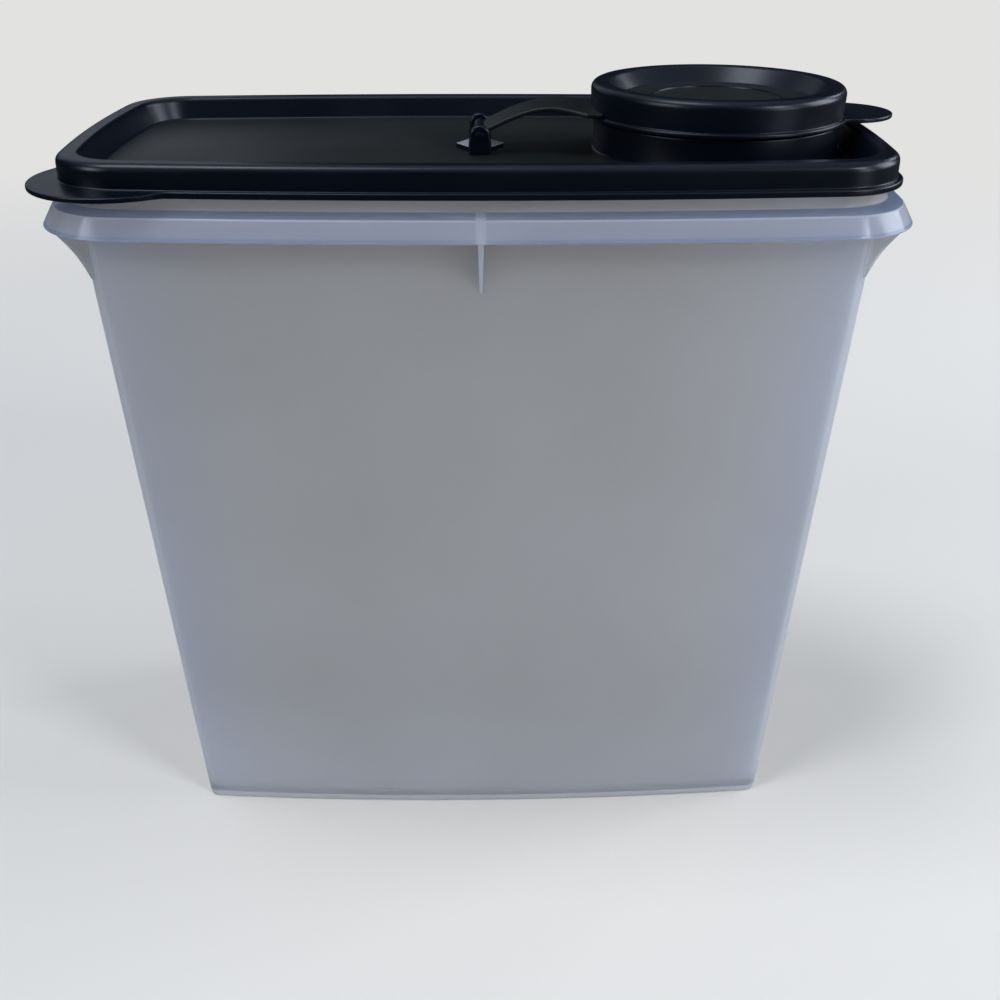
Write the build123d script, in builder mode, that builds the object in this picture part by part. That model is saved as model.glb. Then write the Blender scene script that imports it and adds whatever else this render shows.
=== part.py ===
# Cereal container with a flip-cap lid.
# The long walls are bowed, the box tapers to its base, a skirt hangs round the neck on six gussets,
# and a black lid with a round spout closes it. A strap with a cross pin carries the spout's cap.
# Millimetres, +Z up, X along the length with the spout at +X, the origin in the middle of the base.
import os
from math import hypot, sqrt

from build123d import *

os.makedirs("parts", exist_ok=True)

# Rim of the lid: every outline near the top is this one, moved inward or outward
rim_length = 241.4  # at the middle of the ends
rim_depth = 121.2  # at the middle of the long sides
rim_corner = 17.6
side_bow = 5.5  # how far the long sides swell between their corners
end_bow = 1.8

# Container body
base_length = 203.0
base_depth = 98.2
base_corner = 8.3
base_side_bow = 4.1
base_end_bow = 0.6
base_edge_radius = 2.6
shoulder_inset_x = 4.1  # from the rim's outline in to the body's just under the ledge
shoulder_inset_y = 4.1
shoulder_corner = 7.8
shoulder_height = 217.8
body_wall = 1.8
floor_thickness = 2.2
floor_radius = 2.0
foot_height = 1.6
foot_width = 5.0

# Neck, ledge, skirt and gussets
neck_wall = 1.8
neck_height = 10.8
neck_edge_radius = 0.7
ledge_rise = 1.5  # from the shoulder to the ledge's inner edge
ledge_drop = 1.25  # how much the ledge slopes down to its outer edge
ledge_thickness = 1.5
ledge_step = 0.9  # below the ledge, where the inside widens to the neck
skirt_top_reach = 3.2  # outside the rim's outline
skirt_reach = 6.5
skirt_height = 6.2
skirt_wall = 1.3
gusset_thickness = 1.7
gusset_depth = 18.0  # below the skirt's edge, in the middle of each long side
corner_gusset_depth = 16.0
gusset_root = 0.9  # how deep a gusset is rooted in the wall

# Lid
lid_wall = 1.5
neck_gap = 0.6  # between the neck and each wall of the rim's channel
inner_wall = 1.6
rim_top_thickness = 1.5
rim_seat_gap = 0.35  # between the neck's edge and the roof of the channel
rim_outer_radius = 2.4
rim_inner_radius = 1.6
visible_neck = 3.8  # neck that shows between the ledge and the lid's lip
lip_reach = 1.5
lip_thickness = 1.9
panel_depth = 7.0  # below the top of the rim
panel_thickness = 1.6
panel_radius = 1.0
inner_wall_lean = 2.6  # how far the rim's inner wall leans in towards the panel
tab_radius = 25.5
tab_inset_x = 15.5  # from the rim's corner extremes to the tab's centre
tab_inset_y = 15.9
tab_thickness = 1.5

# Spout, a collar with a narrower mouth
spout_inset = 46.9  # from the rim's end to the spout's axis
spout_radius = 36.4
spout_draft = 0.4  # how much smaller the mouth is than the spout's foot
spout_wall = 1.8
spout_height = 16.5  # above the panel
collar_radius = 38.0
collar_height = 9.5

# Flip cap
cap_gap = 0.9  # between the spout and the cap's skirt
cap_wall = 1.6
cap_draft = 0.3
cap_height = 10.0
cap_seat_gap = 0.5  # between the collar and the cap's lip
cap_lip_reach = 1.1
cap_lip_thickness = 1.3
cap_bead_width = 5.4
cap_bead_outer_radius = 2.2
cap_bead_inner_radius = 1.6
cap_top_thickness = 1.5
cap_recess = 4.7
cap_recess_lean = 4.4
cap_disc_thickness = 1.5
cap_ring_radius = 20.0
cap_ring_width = 0.8
cap_ring_height = 0.4
thumb_radius = 15.0
thumb_reach = 15.1  # past the cap's lip
thumb_root_radius = 4.0
thumb_thickness = 1.3

# Hinge: ears on the panel, and the strap with its cross pin
ear_spacing = 24.4
ear_thickness = 2.6
ear_width = 7.0
pin_height = 5.6  # its axis above the panel
pin_reach = 73.8  # from the spout's axis back to the pin's
pin_radius = 1.5
pin_fit = 0.05
pin_proud = 0.4  # past the ears
barrel_radius = 2.2
strap_thickness = 1.3
strap_width = 19.0  # of the barrel too
strap_straight = 14.0  # from the pin to where the strap starts to widen
strap_cap_width = 29.0
strap_rise = 7.65  # the arch's highest point above the pin's axis
strap_crest_reach = 22.8  # from the pin to the arch's highest point
web_reach = 0.5  # from the cap's lip to the thin web that bends
web_gap = 0.3  # between the strap and the cap's root at the web
web_height = 2.6  # top of the strap's end above the cap's lower edge
root_depth = 3.0  # how far the cap's root runs into its wall
pad_length = 14.9
pad_width = 12.8
pad_height = 1.5
pad_corner = 0.8

# Lengths, places, heights and radii that follow
shoulder_length = rim_length - 2 * shoulder_inset_x
shoulder_depth = rim_depth - 2 * shoulder_inset_y
spout_x = rim_length / 2 - spout_inset
pin_x = spout_x - pin_reach
ledge_height = shoulder_height + ledge_rise
step_height = ledge_height - ledge_step
neck_top = ledge_height + neck_height
skirt_top = ledge_height - ledge_drop
skirt_bottom = skirt_top - skirt_height
cavity_floor = foot_height + floor_thickness
lid_bottom = ledge_height + visible_neck
channel_top = neck_top + rim_seat_gap
rim_top = channel_top + rim_top_thickness
panel_top = rim_top - panel_depth
panel_bottom = panel_top - panel_thickness
collar_top = panel_top + collar_height
spout_top = panel_top + spout_height
cap_bottom = collar_top + cap_seat_gap
cap_top = cap_bottom + cap_height
cap_inner_radius = spout_radius + cap_gap
cap_foot_radius = cap_inner_radius + cap_wall
cap_radius = cap_foot_radius + cap_draft
cap_lip_radius = cap_foot_radius + cap_lip_reach
pin_z = panel_top + pin_height
web_x = spout_x - cap_lip_radius - web_reach
web_z = cap_bottom + web_height

# Insets from the rim's outline
neck_outer_inset = lid_wall + neck_gap
neck_inner_inset = neck_outer_inset + neck_wall
channel_inset = neck_inner_inset + neck_gap
recess_inset = channel_inset + inner_wall

spout_axis = Axis((spout_x, 0, 0), (0, 0, 1))
diagonal = sqrt(0.5)


def bowed_outline(z, length, depth, corner, side, end):
    """Outline at height z with swelling sides and ends and round corners."""
    x, y = length / 2 - end, depth / 2 - side
    with BuildSketch(Plane.XY.offset(z)) as outline:
        with BuildLine():
            ThreePointArc((-x, -y), (0, -depth / 2), (x, -y))
            ThreePointArc((x, -y), (length / 2, 0), (x, y))
            ThreePointArc((x, y), (0, depth / 2), (-x, y))
            ThreePointArc((-x, y), (-length / 2, 0), (-x, -y))
        make_face()
        fillet(outline.vertices(), corner)
    return outline.sketch


def rim_outline(z, reach):
    """The rim's outline at height z, moved outward by reach."""
    length, depth = rim_length + 2 * reach, rim_depth + 2 * reach
    return bowed_outline(z, length, depth, rim_corner + reach, side_bow, end_bow)


def body_sizes(z):
    """Length, depth, corner radius, side bow and end bow of the tapered body at height z."""
    share = z / shoulder_height
    low = (base_length, base_depth, base_corner, base_side_bow, base_end_bow)
    high = (shoulder_length, shoulder_depth, shoulder_corner, side_bow, end_bow)
    return [a + (b - a) * share for a, b in zip(low, high)]


def body_outline(z, inset):
    """The tapered body's outline at height z, moved inward by inset."""
    length, depth, corner, side, end = body_sizes(z)
    return bowed_outline(z, length - 2 * inset, depth - 2 * inset, corner - inset, side, end)


def body_corner(z):
    """The point of the body's front right corner, half way round its radius, as a distance in X and Y."""
    length, depth, corner, side, end = body_sizes(z)
    swing = corner * (1 - diagonal)
    return length / 2 - end - swing, depth / 2 - side - swing


def skirt_reach_at(z):
    """How far the skirt's outer face stands outside the rim's outline at height z."""
    return skirt_top_reach + (skirt_reach - skirt_top_reach) * (skirt_top - z) / skirt_height


def upright_plane(x, y, outward_x, outward_y):
    """Vertical plane through a point, its first direction pointing outward and its second one up."""
    return Plane(origin=(x, y, 0), x_dir=(outward_x, outward_y, 0), z_dir=(outward_y, -outward_x, 0))


# Hollow inside: the body's cavity and the wider neck above it
with BuildPart() as cavity:
    loft(sections=[body_outline(cavity_floor, body_wall), body_outline(step_height, body_wall)], ruled=True)
    fillet(cavity.edges().group_by(Axis.Z)[0], floor_radius)
    extrude(rim_outline(step_height, -neck_inner_inset), amount=neck_top - step_height)

# Ledge and hanging skirt, hollow underneath
ledge_underside = skirt_top - ledge_thickness
with BuildPart() as skirt:
    loft(
        sections=[rim_outline(skirt_bottom, skirt_reach), rim_outline(skirt_top, skirt_top_reach)],
        ruled=True,
    )
    loft(
        sections=[rim_outline(skirt_top, skirt_top_reach), rim_outline(ledge_height, -neck_outer_inset)],
        ruled=True,
    )
    loft(
        sections=[
            rim_outline(skirt_bottom, skirt_reach - skirt_wall),
            rim_outline(ledge_underside, skirt_reach_at(ledge_underside) - skirt_wall),
        ],
        ruled=True,
        mode=Mode.SUBTRACT,
    )
    fillet(skirt.edges().group_by(Axis.Z)[0], skirt_wall * 0.3)


def gusset_face(plane, wall_at, skirt_at, depth):
    """Gusset outline on a vertical plane: from the ledge down the skirt's inner side, then in to the wall."""
    top = ledge_underside + ledge_thickness / 2
    low = skirt_bottom - depth
    with BuildSketch(plane) as face:
        with BuildLine():
            Polyline(
                (wall_at(low) - gusset_root, low),
                (wall_at(low), low),
                (skirt_at(skirt_bottom) - skirt_wall / 2, skirt_bottom),
                (skirt_at(top) - skirt_wall / 2, top),
                (wall_at(top) - gusset_root, top),
                close=True,
            )
        make_face()
    return face.sketch


def side_wall_at(z):
    return body_sizes(z)[1] / 2


def side_skirt_at(z):
    return rim_depth / 2 + skirt_reach_at(z)


# A corner gusset stands on the diagonal that runs outward through the body's corner
corner_x, corner_y = body_corner(skirt_bottom)


def corner_wall_at(z):
    """Distance of the body's corner along that diagonal from its place at the skirt's edge."""
    x, y = body_corner(z)
    return ((x - corner_x) + (y - corner_y)) * diagonal


def corner_skirt_at(z):
    """Distance of the skirt's corner along the same diagonal."""
    swing = (rim_corner + skirt_reach_at(z)) * (1 - diagonal)
    x = rim_length / 2 - end_bow + skirt_reach_at(z) - swing
    y = rim_depth / 2 - side_bow + skirt_reach_at(z) - swing
    return ((x - corner_x) + (y - corner_y)) * diagonal


# Container: body, skirt, neck and gussets, then the hollow inside
with BuildPart() as container:
    loft(sections=[body_outline(0, 0), body_outline(shoulder_height, 0)], ruled=True)
    fillet(container.edges().group_by(Axis.Z)[0], base_edge_radius)
    add(skirt.part)
    extrude(rim_outline(step_height, -neck_outer_inset), amount=neck_top - step_height)
    for side in (-1, 1):
        extrude(
            gusset_face(upright_plane(0, 0, 0, side), side_wall_at, side_skirt_at, gusset_depth),
            amount=gusset_thickness / 2,
            both=True,
        )
        for end in (-1, 1):
            corner_plane = upright_plane(end * corner_x, side * corner_y, end * diagonal, side * diagonal)
            extrude(
                gusset_face(corner_plane, corner_wall_at, corner_skirt_at, corner_gusset_depth),
                amount=gusset_thickness / 2,
                both=True,
            )
    add(cavity.part, mode=Mode.SUBTRACT)
    extrude(body_outline(0, foot_width), amount=foot_height, mode=Mode.SUBTRACT)
    fillet(container.edges().group_by(Axis.Z)[-1], neck_edge_radius)

# Channel of the rim, between its outer wall and its leaning inner wall
channel_lean = inner_wall_lean * (channel_top - lid_bottom) / panel_depth
with BuildPart() as channel:
    extrude(rim_outline(lid_bottom, -lid_wall), amount=channel_top - lid_bottom)
    loft(
        sections=[
            rim_outline(lid_bottom, -channel_inset - channel_lean),
            rim_outline(channel_top, -channel_inset),
        ],
        ruled=True,
        mode=Mode.SUBTRACT,
    )

# Sunken panel above, with a rounded foot where the inner wall meets it
with BuildPart() as recess:
    loft(
        sections=[
            rim_outline(panel_top, -recess_inset - inner_wall_lean),
            rim_outline(rim_top, -recess_inset),
        ],
        ruled=True,
    )
    fillet(recess.edges().group_by(Axis.Z)[0], panel_radius)

# Lid: rim, lip, pull tab, panel, spout, ears and lozenge pad
tab_x = rim_length / 2 - end_bow - tab_inset_x
tab_y = rim_depth / 2 - side_bow - tab_inset_y
with BuildPart() as lid:
    extrude(rim_outline(lid_bottom, 0), amount=rim_top - lid_bottom)
    fillet(lid.edges().group_by(Axis.Z)[-1], rim_outer_radius)
    add(recess.part, mode=Mode.SUBTRACT)
    fillet(lid.edges().group_by(Axis.Z)[-1], rim_inner_radius)
    extrude(
        rim_outline(lid_bottom, -recess_inset - inner_wall_lean),
        amount=panel_bottom - lid_bottom,
        mode=Mode.SUBTRACT,
    )
    # Lip and pull tab, both rooted in the rim's outer wall
    with BuildSketch(Plane.XY.offset(lid_bottom)):
        add(rim_outline(lid_bottom, lip_reach))
        add(rim_outline(lid_bottom, -lid_wall / 2), mode=Mode.SUBTRACT)
    extrude(amount=lip_thickness)
    with BuildSketch(Plane.XY.offset(lid_bottom)):
        with Locations((-tab_x, -tab_y)):
            Circle(tab_radius)
        add(rim_outline(lid_bottom, -lid_wall / 2), mode=Mode.SUBTRACT)
    extrude(amount=tab_thickness)
    add(channel.part, mode=Mode.SUBTRACT)
    # Stepped spout
    with Locations((spout_x, 0, panel_bottom)):
        Cylinder(
            collar_radius - spout_wall,
            panel_thickness,
            align=(Align.CENTER, Align.CENTER, Align.MIN),
            mode=Mode.SUBTRACT,
        )
    with BuildSketch(Plane.XZ):
        with BuildLine():
            Polyline(
                (spout_x + collar_radius, panel_bottom),
                (spout_x + collar_radius, collar_top),
                (spout_x + spout_radius, collar_top),
                (spout_x + spout_radius - spout_draft, spout_top),
                (spout_x + spout_radius - spout_draft - spout_wall, spout_top),
                (spout_x + spout_radius - spout_wall, collar_top - spout_wall),
                (spout_x + collar_radius - spout_wall, collar_top - spout_wall),
                (spout_x + collar_radius - spout_wall, panel_bottom),
                close=True,
            )
        make_face()
    revolve(axis=spout_axis)
    # Lozenge pad under the strap's pin
    with BuildSketch(Plane.XY.offset(panel_top)) as lozenge:
        with BuildLine():
            Polyline(
                (pin_x - pad_length / 2, 0),
                (pin_x, -pad_width / 2),
                (pin_x + pad_length / 2, 0),
                (pin_x, pad_width / 2),
                close=True,
            )
        make_face()
        fillet(lozenge.vertices(), pad_corner)
    extrude(amount=pad_height)
    # Ears with pin holes
    for side in (-1, 1):
        with BuildSketch(Plane.XZ.offset(side * ear_spacing / 2)):
            with Locations((pin_x, pin_z)):
                Circle(ear_width / 2)
            with Locations((pin_x, panel_bottom)):
                Rectangle(ear_width, pin_z - panel_bottom, align=(Align.CENTER, Align.MIN))
            with Locations((pin_x, pin_z)):
                Circle(pin_radius + pin_fit, mode=Mode.SUBTRACT)
        extrude(amount=ear_thickness / 2, both=True)

# Strap: an arched band, its barrel and the cross pin
pin_length = ear_spacing + ear_thickness + 2 * pin_proud
strap_end_x = web_x - web_gap / 2


def strap_edge(lift):
    """Edge of the strap seen from the front, from its barrel over the crest to the web."""
    return Spline(
        (pin_x, pin_z + lift),
        (pin_x + strap_crest_reach, pin_z + strap_rise + lift),
        (strap_end_x, web_z - strap_thickness / 2 + lift),
        tangents=((1, 0.5), (1, -0.15)),
    )


with BuildPart() as strap:
    with BuildSketch(Plane.XZ):
        with BuildLine():
            upper = strap_edge(strap_thickness / 2)
            lower = strap_edge(-strap_thickness / 2)
            Line(upper @ 0, lower @ 0)
            Line(upper @ 1, lower @ 1)
        make_face()
        with Locations((pin_x, pin_z)):
            Circle(barrel_radius)
    extrude(amount=strap_cap_width / 2, both=True)
    with BuildSketch(Plane.XY.offset(panel_top)):
        with BuildLine():
            straight = Polyline(
                (pin_x + strap_straight, -strap_width / 2),
                (pin_x - barrel_radius, -strap_width / 2),
                (pin_x - barrel_radius, strap_width / 2),
                (pin_x + strap_straight, strap_width / 2),
            )
            near = TangentArc(straight @ 0, (strap_end_x, -strap_cap_width / 2), tangent=(1, 0))
            far = TangentArc(straight @ 1, (strap_end_x, strap_cap_width / 2), tangent=(1, 0))
            Line(near @ 1, far @ 1)
        make_face()
    extrude(amount=cap_top - panel_top, mode=Mode.INTERSECT)
    with BuildSketch(Plane.XZ):
        with Locations((pin_x, pin_z)):
            Circle(pin_radius)
    extrude(amount=pin_length / 2, both=True)

# Flip cap: bead ring, leaning inner wall, recessed disc, skirt with a lip, thumb tab and strap root
bead_inner_radius = cap_radius - cap_bead_width
disc_radius = bead_inner_radius - cap_recess_lean
disc_top = cap_top - cap_recess
disc_bottom = disc_top - cap_disc_thickness
channel_roof = cap_top - cap_top_thickness
lean = cap_recess_lean / cap_recess
inner_wall_across = cap_top_thickness * hypot(1, lean)


def plug_radius_at(z):
    """Outer radius of the cap's leaning inner wall at height z."""
    return disc_radius + (z - disc_top) * lean + inner_wall_across


with BuildPart() as flip_cap:
    with BuildSketch(Plane.XZ):
        with BuildLine():
            Polyline(
                (spout_x + cap_inner_radius, cap_bottom),
                (spout_x + cap_lip_radius, cap_bottom),
                (spout_x + cap_lip_radius, cap_bottom + cap_lip_thickness),
                (spout_x + cap_foot_radius, cap_bottom + cap_lip_thickness),
                (spout_x + cap_radius, cap_top),
                (spout_x + bead_inner_radius, cap_top),
                (spout_x + disc_radius, disc_top),
                (spout_x, disc_top),
                (spout_x, disc_bottom),
                (spout_x + plug_radius_at(disc_bottom), disc_bottom),
                (spout_x + plug_radius_at(channel_roof), channel_roof),
                (spout_x + cap_inner_radius, channel_roof),
                close=True,
            )
        make_face()
    revolve(axis=spout_axis)
    top_edges = flip_cap.edges().group_by(Axis.Z)[-1].sort_by(SortBy.RADIUS)
    fillet(top_edges[-1], cap_bead_outer_radius)
    fillet(flip_cap.edges().group_by(Axis.Z)[-1].sort_by(SortBy.RADIUS)[0], cap_bead_inner_radius)
    with BuildSketch(Plane.XY.offset(disc_top)):
        with Locations((spout_x, 0)):
            Circle(cap_ring_radius + cap_ring_width / 2)
            Circle(cap_ring_radius - cap_ring_width / 2, mode=Mode.SUBTRACT)
    extrude(amount=cap_ring_height)
    # Thumb tab, rounded into the lip
    with BuildSketch(Plane.XY.offset(cap_bottom)) as tab:
        with Locations((spout_x, 0)):
            Circle(cap_lip_radius)
        with Locations((spout_x + cap_lip_radius + thumb_reach - thumb_radius, 0)):
            Circle(thumb_radius)
        fillet(tab.vertices(), thumb_root_radius)
        with Locations((spout_x, 0)):
            Circle(cap_foot_radius - cap_wall / 2, mode=Mode.SUBTRACT)
    extrude(amount=thumb_thickness)
    # Root of the strap on the cap's wall
    with BuildSketch(Plane.XY.offset(web_z - strap_thickness)):
        with Locations((web_x + web_gap / 2, 0)):
            Rectangle(
                cap_lip_radius + root_depth,
                strap_cap_width,
                align=(Align.MIN, Align.CENTER),
            )
        with Locations((spout_x, 0)):
            Circle(cap_foot_radius - cap_wall / 2, mode=Mode.SUBTRACT)
    extrude(amount=strap_thickness)

for name, piece in {
    "container": container,
    "lid": lid,
    "strap": strap,
    "flip_cap": flip_cap,
}.items():
    piece.part.label = name
    export_step(piece.part, f"parts/{name}.step")
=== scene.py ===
from math import cos, radians, sin

import bmesh
import bpy
import numpy as np
from mathutils import Matrix, Vector


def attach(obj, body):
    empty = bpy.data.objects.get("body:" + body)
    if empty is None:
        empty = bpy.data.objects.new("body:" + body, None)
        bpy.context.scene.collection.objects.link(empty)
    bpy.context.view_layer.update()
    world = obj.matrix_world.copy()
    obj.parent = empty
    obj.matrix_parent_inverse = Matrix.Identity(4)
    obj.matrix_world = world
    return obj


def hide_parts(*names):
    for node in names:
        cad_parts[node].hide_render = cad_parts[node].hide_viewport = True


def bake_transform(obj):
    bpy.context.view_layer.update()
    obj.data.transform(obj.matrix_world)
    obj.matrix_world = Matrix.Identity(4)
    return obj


# Looks of a milky cereal keeper with a black lid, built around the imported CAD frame.
# Every size is in millimetres in the CAD frame, and is turned to metres where a mesh is made.
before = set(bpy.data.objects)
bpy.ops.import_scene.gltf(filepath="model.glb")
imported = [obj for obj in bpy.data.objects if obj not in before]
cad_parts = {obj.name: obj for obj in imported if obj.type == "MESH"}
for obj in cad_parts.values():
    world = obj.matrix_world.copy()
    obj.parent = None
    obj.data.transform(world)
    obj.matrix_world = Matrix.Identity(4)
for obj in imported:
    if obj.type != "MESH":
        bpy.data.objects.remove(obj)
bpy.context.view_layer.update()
mm = 0.001
print("frame loaded with", sorted(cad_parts))


def roundedLine(points, radii, steps=5, hold=0.25):
    # Line through points in a plane, each inner corner replaced by an arc of its radius:
    # centre = corner + bisector * radius / sin(half angle), the arc swept between its two tangent
    # points. A holding point stands just before and after each arc, so that flats shade flat.
    points = np.asarray(points, float)
    line = [points[0]]
    for before, corner, after, radius in zip(points[:-2], points[1:-1], points[2:], radii):
        inward, outward = before - corner, after - corner
        roomIn, roomOut = np.linalg.norm(inward), np.linalg.norm(outward)
        inward, outward = inward / roomIn, outward / roomOut
        half = np.arccos(np.clip(inward @ outward, -1, 1)) / 2
        reach = min(radius / np.tan(half), 0.49 * roomIn, 0.49 * roomOut)
        radius = reach * np.tan(half)
        bisector = (inward + outward) / np.linalg.norm(inward + outward)
        centre = corner + bisector * radius / np.sin(half)
        start, end = corner + inward * reach - centre, corner + outward * reach - centre
        sweep = np.pi - 2 * half
        share = np.linspace(0, 1, steps + 1)[:, None]
        arc = centre + (np.sin((1 - share) * sweep) * start + np.sin(share * sweep) * end) / np.sin(sweep)
        if reach + 2.2 * hold < roomIn:
            line.append(corner + inward * (reach + hold))
        line.extend(arc)
        if reach + 2.2 * hold < roomOut:
            line.append(corner + outward * (reach + hold))
    line.append(points[-1])
    return np.array(line)


def gridObject(name, grid, closedRows=False, poles=(False, False), sharpAngle=40):
    # Surface over a grid of points: rows run along the profile, columns go round and close.
    # Neighbouring points give the quads, and a pole closes an end row with triangles.
    rows, columns = grid.shape[:2]
    points = grid.reshape(-1, 3)
    row, column = np.meshgrid(np.arange(rows if closedRows else rows - 1), np.arange(columns), indexing="ij")
    nextRow, nextColumn = (row + 1) % rows, (column + 1) % columns
    here, beyond = row * columns, nextRow * columns
    quads = np.stack([here + column, here + nextColumn, beyond + nextColumn, beyond + column], -1).reshape(-1, 4)
    faces = quads.tolist()
    for wanted, ring in zip(poles, (0, rows - 1)):
        if wanted:
            tip = len(points)
            points = np.vstack([points, grid[ring].mean(axis=0)])
            around = np.arange(columns)
            fan = np.stack([ring * columns + around, ring * columns + (around + 1) % columns, np.full(columns, tip)], 1)
            faces += fan.tolist()
    mesh = bpy.data.meshes.new(name)
    mesh.from_pydata((points * mm).tolist(), [], faces)
    work = bmesh.new()
    work.from_mesh(mesh)
    bmesh.ops.recalc_face_normals(work, faces=work.faces)
    work.to_mesh(mesh)
    work.free()
    mesh.shade_smooth()
    mesh.set_sharp_from_angle(angle=radians(sharpAngle))
    made = bpy.data.objects.new(name, mesh)
    bpy.context.scene.collection.objects.link(made)
    return made


def linear(hexColour):
    # sRGB hex to linear light
    srgb = np.array([int(hexColour[i : i + 2], 16) for i in (1, 3, 5)]) / 255
    return [float(v) for v in np.where(srgb <= 0.04045, srgb / 12.92, ((srgb + 0.055) / 1.055) ** 2.4)] + [1.0]


def smooth(low, high, values):
    # 0 below low, 1 above high, and 3t^2 - 2t^3 between
    t = np.clip((values - low) / (high - low), 0, 1)
    return t * t * (3 - 2 * t)


def addTone(piece, tones, polish):
    # Colour and polish at each vertex; a pole takes those of the last ring it closes
    count = len(piece.data.vertices)
    tones = np.broadcast_to(tones, (*np.shape(tones)[:-1], 4)).reshape(-1, 4)
    polish = np.reshape(polish, -1)
    index = np.minimum(np.arange(count), len(tones) - 1)
    colour = piece.data.attributes.new("tone", "FLOAT_COLOR", "POINT")
    colour.data.foreach_set("color", tones[index].astype(np.float32).reshape(-1))
    gloss = piece.data.attributes.new("polish", "FLOAT", "POINT")
    gloss.data.foreach_set("value", polish[np.minimum(index, len(polish) - 1)].astype(np.float32))


def secondMaterial(piece, material, low, high):
    # Faces whose middle lies between these heights in millimetres take a second material
    piece.data.materials.append(material)
    middles = np.array([face.center.z for face in piece.data.polygons]) / mm
    piece.data.polygons.foreach_set("material_index", ((middles > low) & (middles < high)).astype(np.int32))


def dress(piece, body, material):
    piece.data.materials.append(material)
    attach(piece, body)
    return piece


# Outlines that the container and the lid share
outline = {
    "rimLength": 244.6, "rimDepth": 121.2, "rimCorner": 21.0, "sideBow": 5.5, "endBow": 3.3,
    "baseLength": 203.0, "baseDepth": 98.2, "baseCorner": 4.5, "baseSideBow": 4.1, "baseEndBow": 0.6,
    "shoulderLength": 233.2, "shoulderDepth": 113.0, "shoulderCorner": 7.8, "shoulderEndBow": 1.8,
    "shoulderHeight": 217.8, "skirtLength": 242.6, "skirtCorner": 19.0,
    "endSteps": 10, "cornerSteps": 16, "sideSteps": 28,
}
def outlineSizes(*names):
    return np.array([outline[name] for name in names])


rimSizes = outlineSizes("rimLength", "rimDepth", "rimCorner", "sideBow", "endBow")
skirtSizes = outlineSizes("skirtLength", "rimDepth", "skirtCorner", "sideBow", "endBow")
baseSizes = outlineSizes("baseLength", "baseDepth", "baseCorner", "baseSideBow", "baseEndBow")
shoulderSizes = outlineSizes("shoulderLength", "shoulderDepth", "shoulderCorner", "sideBow", "shoulderEndBow")


def bodySizesAt(z):
    # The body tapers evenly: base + (shoulder - base) * height share
    return baseSizes + (shoulderSizes - baseSizes) * z / outline["shoulderHeight"]


def bowedRings(sizes):
    # Rings of points, one per row of sizes: length, depth, corner radius, side bow, end bow.
    # Each side is an arc of radius (half chord^2 + bow^2) / (2 bow) through the bare corners, and
    # each corner an arc tangent to both, whose centre is where the two inset circles cross.
    # A quarter is three arcs of centre + radius * (cos, sin), and is mirrored to the other three.
    length, depth, corner, side, end = (sizes[:, i : i + 1] for i in range(5))
    x, y = length / 2 - end, depth / 2 - side
    sideRadius, endRadius = (x**2 + side**2) / (2 * side), (y**2 + end**2) / (2 * end)
    sideCentre, endCentre = y + side - sideRadius, x + end - endRadius
    apart = np.hypot(endCentre, sideCentre)
    along = ((sideRadius - corner) ** 2 - (endRadius - corner) ** 2 + apart**2) / (2 * apart)
    off = np.sqrt((sideRadius - corner) ** 2 - along**2)
    towardX, towardY = endCentre / apart, -sideCentre / apart
    cornerX = towardX * along + towardY * off * np.sign(towardY)
    cornerY = sideCentre + towardY * along - towardX * off * np.sign(towardY)
    flip = cornerY < 0
    cornerX = np.where(flip, towardX * along - towardY * off, cornerX)
    cornerY = np.where(flip, sideCentre + towardY * along + towardX * off, cornerY)
    endSweep = np.arctan2(cornerY, cornerX - endCentre)
    sideSweep = np.arctan2(cornerX, cornerY - sideCentre)
    nEnd, nCorner, nSide = (outline[k] for k in ("endSteps", "cornerSteps", "sideSteps"))
    endShare = 1 - (1 - np.arange(nEnd) / nEnd) ** 1.4  # steps get finer towards the corner
    sideShare = (np.arange(nSide + 1) / nSide) ** 1.5
    sideShare[-3:-1] = 0.983, 0.9895  # two columns beside the middle gusset
    angle = np.hstack([
        endSweep * endShare,
        endSweep + (np.pi / 2 - sideSweep - endSweep) * np.arange(nCorner) / nCorner,
        np.pi / 2 - sideSweep + sideSweep * sideShare,
    ])
    spans = [nEnd, nCorner, nSide + 1]

    def perSpan(*values):
        return np.hstack([np.broadcast_to(v, (len(sizes), n)) for v, n in zip(values, spans)])

    radius = perSpan(endRadius, corner, sideRadius)
    normal = np.stack([np.cos(angle), np.sin(angle)], axis=-1)
    quarter = np.stack([perSpan(endCentre, cornerX, 0.0), perSpan(0.0, cornerY, sideCentre)], -1)
    quarter = quarter + radius[..., None] * normal

    def allRound(q):
        back = q[:, ::-1]
        return np.concatenate([
            q[:, :-1], (back * (-1, 1))[:, :-1], (q * (-1, -1))[:, :-1], (back * (1, -1))[:, :-1],
        ], axis=1)

    return allRound(quarter), allRound(normal)


def ringsAt(weight, reach, z, scale=1.0, upper=rimSizes):
    # Rings of the keeper: weight 0 is the tapered body's outline at that height, 1 the upper one,
    # and reach moves it outward: sizes = body + (upper - body) * weight + reach on each side
    weight, reach, z, scale = (
        np.broadcast_to(value, np.shape(z)).astype(float)[:, None] for value in (weight, reach, z, scale)
    )
    bodySizes = bodySizesAt(z)
    sizes = bodySizes + (upper - bodySizes) * weight
    sizes = sizes + reach * np.array([2, 2, 1, 0, 0])
    sizes[:, 2] = np.maximum(sizes[:, 2], 0.4)
    ring, normal = bowedRings(sizes)
    ring = ring * scale[..., None]
    return np.dstack([ring, np.broadcast_to(z, ring.shape[:2])]), normal


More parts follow.
